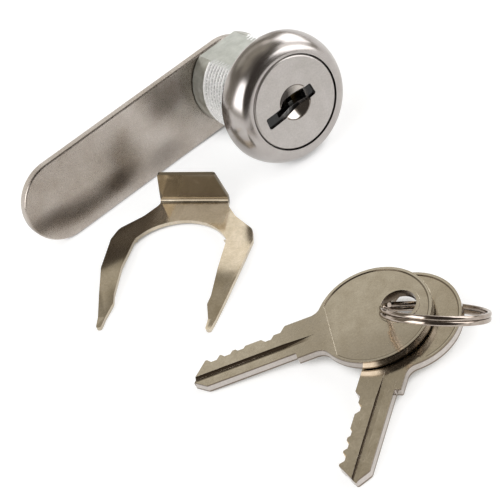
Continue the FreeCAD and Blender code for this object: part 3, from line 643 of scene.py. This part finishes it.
def thread_cutter():
    """The helical groove between the ridges, as a closed band that runs out at both ends."""
    per_turn = 96
    run_out_steps = per_turn / 4
    root_half = 0.1 * THREAD_PITCH
    crest_half = 0.375 * THREAD_PITCH
    outside = THREAD_MAJOR + 0.25
    flank = (crest_half - root_half) / (THREAD_MAJOR - THREAD_MINOR)
    outer_half = root_half + flank * (outside - THREAD_MINOR)
    low = THREAD_END + outer_half + 0.02
    turns = (SEAT - outer_half - 0.06 - low) / THREAD_PITCH
    steps = int(turns * per_turn)
    verts = []
    for i in range(steps + 1):
        angle = 2 * math.pi * i / per_turn
        z = low + THREAD_PITCH * i / per_turn
        run_out = max(0.0, 1.0 - min(i, steps - i) / run_out_steps)
        root = THREAD_MINOR + (outside - 0.1 - THREAD_MINOR) * run_out
        for radius, side in ((outside, -outer_half), (root, -root_half),
                             (root, root_half), (outside, outer_half)):
            p = Vector((radius * math.cos(angle), radius * math.sin(angle), z + side))
            verts.append(lock_frame @ (p * MM))
    faces = [(0, 1, 2, 3), tuple(4 * steps + k for k in (3, 2, 1, 0))]
    for i in range(steps):
        for k in range(4):
            n = (k + 1) % 4
            faces.append((4 * i + k, 4 * i + n, 4 * i + 4 + n, 4 * i + 4 + k))
    return mesh_of("thread_cutter", verts, faces, THREAD, SHARP_ANGLE)


def mesh_of(name, verts, faces, finish, sharp):
    """A smooth mesh whose edges over an angle in degrees stay sharp, its faces turned outwards."""
    mesh = bpy.data.meshes.new(name)
    mesh.from_pydata(verts, [], faces)
    mesh.materials.append(finish)
    bm = bmesh.new()
    bm.from_mesh(mesh)
    bmesh.ops.recalc_face_normals(bm, faces=bm.faces)
    bm.to_mesh(mesh)
    bm.free()
    mesh.shade_smooth()
    mesh.set_sharp_from_angle(angle=math.radians(sharp))
    return mesh


def cut_mesh(node, cutter_mesh, name):
    """The mesh of a CAD node with the volume of another mesh taken away."""
    blank = bpy.data.objects.new(node + "_blank", welded_copy(node, node + "_blank"))
    cutter = bpy.data.objects.new(node + "_cutter", cutter_mesh)
    for obj in (blank, cutter):
        bpy.context.scene.collection.objects.link(obj)
    cut = blank.modifiers.new("cut", "BOOLEAN")
    cut.operation = "DIFFERENCE"
    cut.solver = "EXACT"
    cut.object = cutter
    cut_blank = blank.evaluated_get(bpy.context.evaluated_depsgraph_get())
    mesh = bpy.data.meshes.new_from_object(cut_blank)
    mesh.name = name
    for obj in (blank, cutter):
        old = obj.data
        bpy.data.objects.remove(obj)
        bpy.data.meshes.remove(old)
    mesh.materials.clear()
    mesh.shade_smooth()
    mesh.set_sharp_from_angle(angle=math.radians(SHARP_ANGLE))
    return mesh


def crossed_screw():
    """The cam's screw with its cross recess."""
    arm = 2.3
    half = 0.55
    depth = 1.9
    draft = 0.55
    margin = 0.5
    back = lock_frame.inverted()
    head = min((back @ v.co).z / MM for v in frame["nodes"]["cam_screw"].data.vertices)
    plan = []
    for turn in range(4):
        a = math.radians(90 * turn)
        for x, y in ((arm, -half), (arm, half), (half, half)):
            plan.append((x * math.cos(a) - y * math.sin(a),
                         x * math.sin(a) + y * math.cos(a)))
    count = len(plan)
    verts = [lock_frame @ (Vector((x, y, head - margin)) * MM) for x, y in plan]
    verts += [lock_frame @ (Vector((x * draft, y * draft, head + depth)) * MM)
              for x, y in plan]
    faces = [tuple(range(count)), tuple(count + k for k in reversed(range(count)))]
    faces += [(k, (k + 1) % count, count + (k + 1) % count, count + k)
              for k in range(count)]
    cross = mesh_of("cross", verts, faces, SCREW, SHARP_ANGLE)
    mesh = cut_mesh("cam_screw", cross, "cam_screw_crossed")
    mesh.materials.append(SCREW)
    return new_object("cam_screw_crossed", mesh, body_of_node["cam_screw"], "cam_screw")


def threaded_barrel():
    """The CAD barrel with its thread cut into the round sides."""
    mesh = cut_mesh("barrel", thread_cutter(), "barrel_threaded")
    for finish in (ZINC, THREAD, TAIL):
        mesh.materials.append(finish)
    back = lock_frame.inverted()
    for polygon in mesh.polygons:
        p = back @ polygon.center / MM
        polygon.material_index = 0
        if abs(p.y) > FLAT - 0.01 or math.hypot(p.x, p.y) < TAIL_RADIUS - TAIL_STEP:
            continue
        if THREAD_END - 0.001 < p.z < SEAT - 0.001:
            polygon.material_index = 1
        elif p.z < THREAD_END:
            polygon.material_index = 2
    return new_object("barrel_threaded", mesh, "barrel", "barrel")


def split_ring():
    """Two turns of flattened wire on each other, with the jog where one passes to the other."""
    turns = 1.93
    jog_degrees = 26.0
    squareness = 0.7
    steps = 300
    sides = 20
    half_width = 0.4
    half_height = 0.44
    half_pitch = 0.45
    start = math.radians(12.5)
    verts = []
    for i in range(steps + 1):
        t = i / steps
        a = start + 2 * math.pi * turns * t
        jog = (t * turns - turns / 2) * 360.0 / jog_degrees
        s = min(1.0, max(0.0, jog + 0.5))
        lift = (s * s * (3 - 2 * s) * 2 - 1) * half_pitch
        for k in range(sides):
            b = 2 * math.pi * k / sides
            out = abs(math.cos(b)) ** squareness * math.copysign(half_width, math.cos(b))
            rise = abs(math.sin(b)) ** squareness * math.copysign(half_height, math.sin(b))
            r = RING_RADIUS + out
            p = Vector((r * math.cos(a), r * math.sin(a), lift + rise))
            verts.append(ring_frame @ (p * MM))
    faces = []
    for i in range(steps):
        for k in range(sides):
            n = (k + 1) % sides
            faces.append((i * sides + k, i * sides + n,
                          (i + 1) * sides + n, (i + 1) * sides + k))
    faces.append(tuple(range(sides)))
    faces.append(tuple(steps * sides + k for k in reversed(range(sides))))
    mesh = mesh_of("split_ring_wire", verts, faces, RING, 50)
    return new_object("split_ring_wire", mesh, "ring", "split_ring")


threaded_barrel()
crossed_screw()
split_ring()
softened("key_1", KEY_EASE, other=BRASS, choose=in_cuts("key_1"))
softened("key_2", KEY_EASE, other=BRASS, choose=in_cuts("key_2"))
softened("cam", CAM_EASE)
softened("plug_face", FACE_EASE, other=DIMPLE, choose=in_dimple)
softened("keyway_guide", GUIDE_EASE)
softened("mounting_clip", CLIP_EASE)

# Floor: white to the camera with the object's shadow, darker beside what stands close on it,
# and a plain pale grey in reflections
FLOOR_HALF = 3
FLOOR_TONE = (0.4, 0.4, 0.4, 1)
FLOOR_REFLECTED = (0.66, 0.66, 0.655, 1)
FLOOR_REFLECTED_GLOW = 0.42
CONTACT_REACH = 10 * MM
floor_mesh = bpy.data.meshes.new("floor")
floor_mesh.from_pydata([(-FLOOR_HALF, -FLOOR_HALF, 0), (FLOOR_HALF, -FLOOR_HALF, 0),
                        (FLOOR_HALF, FLOOR_HALF, 0), (-FLOOR_HALF, FLOOR_HALF, 0)],
                       [], [(0, 1, 2, 3)])
floor = bpy.data.objects.new("floor", floor_mesh)
bpy.context.scene.collection.objects.link(floor)
floor_mat = bpy.data.materials.new("pale_floor")
floor_mat.use_nodes = True
f = Nodes(floor_mat.node_tree)
covered = f.node("ShaderNodeAmbientOcclusion")
covered.inputs["Distance"].default_value = CONTACT_REACH
open_share = f.smooth(covered.outputs["AO"], 0.02, 0.72, 0.06, 0.4)


def lit(tone, glow):
    """Diffuse shader of a tone with some glow of its own."""
    diffuse = f.node("ShaderNodeBsdfDiffuse")
    diffuse.inputs["Color"].default_value = tone
    emission = f.node("ShaderNodeEmission")
    f.feed(emission.inputs["Strength"], glow)
    both = f.node("ShaderNodeAddShader")
    f.feed(both.inputs[0], diffuse.outputs[0])
    f.feed(both.inputs[1], emission.outputs[0])
    return both.outputs[0]


def by_ray(tree, reflected, seen, target):
    """Feeds one shader to camera rays and another to all others."""
    pick = tree.node("ShaderNodeMixShader")
    path = tree.node("ShaderNodeLightPath")
    tree.feed(pick.inputs[0], path.outputs["Is Camera Ray"])
    tree.feed(pick.inputs[1], reflected)
    tree.feed(pick.inputs[2], seen)
    tree.feed(target, pick.outputs[0])


by_ray(f, lit(FLOOR_REFLECTED, FLOOR_REFLECTED_GLOW), lit(FLOOR_TONE, open_share),
       f.node("ShaderNodeOutputMaterial").inputs[0])
floor_mesh.materials.append(floor_mat)

# Studio: a dim warm room with softboxes round it, painted on the world by direction
world = bpy.data.worlds.new("studio")
bpy.context.scene.world = world
world.use_nodes = True
w = Nodes(world.node_tree)
coord = w.node("ShaderNodeTexCoord")
x, y, z = w.axes(coord.outputs["Generated"])
bearing = w.math("ARCTAN2", y, x)
from_left = w.math("ARCTAN2", y, w.math("MULTIPLY", x, -1.0))


def band(value, low, high, soft):
    """1 between two values, falling smoothly to 0 outside them."""
    return w.product(w.smooth(value, 0.0, 1.0, low - soft, low + soft),
                     w.smooth(value, 1.0, 0.0, high - soft, high + soft))


def panel(side, az_low, az_high, el_low, el_high, soft_az, soft_el):
    """A soft-edged field of sky between two bearings and two elevations, in degrees."""
    across = band(side, math.radians(az_low), math.radians(az_high), math.radians(soft_az))
    up = band(z, math.sin(math.radians(el_low)), math.sin(math.radians(el_high)), soft_el)
    return w.product(across, up)


sky = w.ramp(w.span(z, 0.0, 1.0, -0.2, 1.0), [
    (0.0, (0.5, 0.48, 0.44, 1)), (0.2, (0.34, 0.31, 0.26, 1)),
    (0.7, (0.2, 0.18, 0.15, 1)), (1.0, (0.1, 0.09, 0.08, 1)),
])
# Each panel: its bearings and elevations in degrees, their softness, and its light
for where, light in (
    # a dark curtain on the camera's side, then the wall behind: its dim top, its pale middle
    # with one bright strip, and its bright foot
    ((bearing, -140, -64, 0, 80, 8, 0.06), (0.06, 0.052, 0.045, 1)),
    ((bearing, 30, 150, 52, 72, 12, 0.05), (0.42, 0.39, 0.33, 1)),
    ((bearing, 36, 116, 34, 49, 10, 0.05), (0.62, 0.59, 0.52, 1)),
    ((bearing, 46, 58, 35, 47, 1.5, 0.02), (1.3, 1.25, 1.16, 1)),
    ((bearing, 56, 130, -10, 20, 8, 0.04), (1.1, 1.08, 1.03, 1)),
    # softboxes on the right, behind on the right, in front on the right, and on the left
    ((bearing, -30, 4, 12, 55, 8, 0.06), (1.5, 1.48, 1.44, 1)),
    ((bearing, 2, 40, 8, 40, 5, 0.06), (3.0, 3.0, 3.0, 1)),
    ((bearing, -60, -28, 3, 47, 4, 0.05), (3.0, 3.0, 3.0, 1)),
    ((from_left, -27, 15, 11, 51, 4, 0.06), (3.3, 3.3, 3.3, 1)),
):
    sky = w.mix(panel(*where), sky, light)
room = w.node("ShaderNodeBackground")
w.feed(room.inputs["Color"], sky)
white = w.node("ShaderNodeBackground")
white.inputs["Color"].default_value = (1, 1, 1, 1)
by_ray(w, room.outputs[0], white.outputs[0], w.node("ShaderNodeOutputWorld").inputs[0])

# One large lamp overhead fills the shadows
LAMP_WIDTH = 0.8
LAMP_DEPTH = 0.6
LAMP_RADIANCE = 1.6
fill_data = bpy.data.lights.new("overhead", "AREA")
fill_data.shape = "RECTANGLE"
fill_data.size = LAMP_WIDTH
fill_data.size_y = LAMP_DEPTH
fill_data.energy = LAMP_RADIANCE * math.pi * LAMP_WIDTH * LAMP_DEPTH
fill = bpy.data.objects.new("overhead", fill_data)
fill.location = (-0.3, 0.05, 0.9)
fill.rotation_euler = Vector(fill.location).to_track_quat("Z", "Y").to_euler()
fill.visible_glossy = False
bpy.context.scene.collection.objects.link(fill)

# The photograph's camera
CAMERA_PLACE = (-134.59, -265.63, 295.86)
CAMERA_RIGHT = (0.7557, -0.6118, -0.2336)
CAMERA_UP = (0.5769, 0.4532, 0.6795)
camera_data = bpy.data.cameras.new("camera")
camera_data.lens = 163.1
camera_data.sensor_width = 36.0
camera_data.clip_start = 0.01
camera = bpy.data.objects.new("camera", camera_data)
right = Vector(CAMERA_RIGHT).normalized()
back = right.cross(Vector(CAMERA_UP).normalized()).normalized()
turn = Matrix((right, back.cross(right), back)).transposed().to_4x4()
camera.matrix_world = Matrix.Translation(Vector(CAMERA_PLACE) * MM) @ turn
bpy.context.scene.collection.objects.link(camera)
bpy.context.scene.camera = camera
bpy.context.scene.view_settings.view_transform = "Standard"
